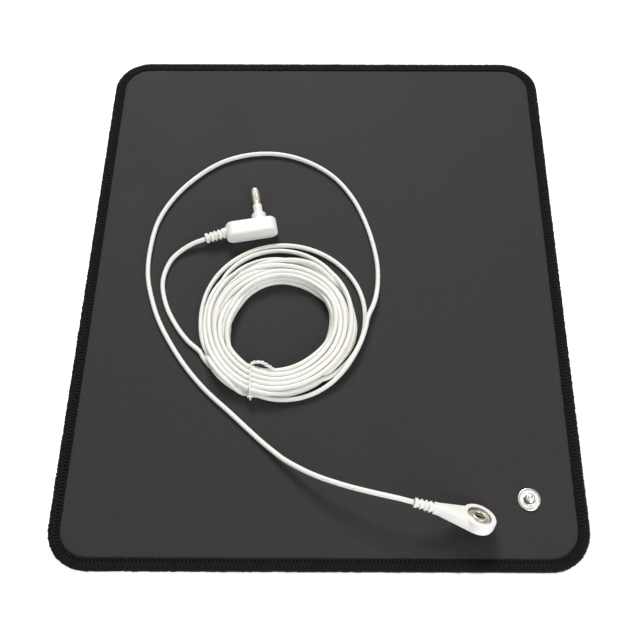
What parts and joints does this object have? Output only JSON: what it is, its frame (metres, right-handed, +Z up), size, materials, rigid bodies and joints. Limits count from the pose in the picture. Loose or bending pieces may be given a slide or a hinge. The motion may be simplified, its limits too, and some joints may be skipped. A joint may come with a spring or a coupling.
{
  "type": "earthing mouse pad",
  "caption": "Rectangular earthing mouse pad with a stitched edge and press stud, with its coiled snap lead and right-angle 4 mm plug lying on it.",
  "frame": {"origin": "centre of the pad's underside, on the surface it lies on", "axes": "+X across the pad towards the side with the press stud, +Y along its length away from the user, +Z up out of the top"},
  "size_m": [0.25, 0.3, 0.019],
  "materials": {
    "pad_leather": "matt dark grey leather-like top with a fine grain",
    "edge_thread": "near-black overlock thread",
    "nickel": "bright nickel plate",
    "white_plastic": "white moulded plastic, satin",
    "pin_metal": "nickel-plated pin, slightly warm",
    "cord_jacket": "white soft PVC jacket, satin",
    "tie_plastic": "white plastic-covered wire tie"
  },
  "bodies": {
    "root": {"mat_sheet": "pad_leather", "edge_stitching": "edge_thread", "snap_stud": "nickel", "snap_rivet": "nickel", "snap_connector": "white_plastic", "connector_socket": "nickel", "plug_body": "white_plastic", "plug_pin": "pin_metal", "cord_coil": "cord_jacket", "coil_tie": "tie_plastic", "cord_lead": "cord_jacket", "cord_loose_turn": "cord_jacket", "cord_tail": "cord_jacket"}
  },
  "joints": []
}
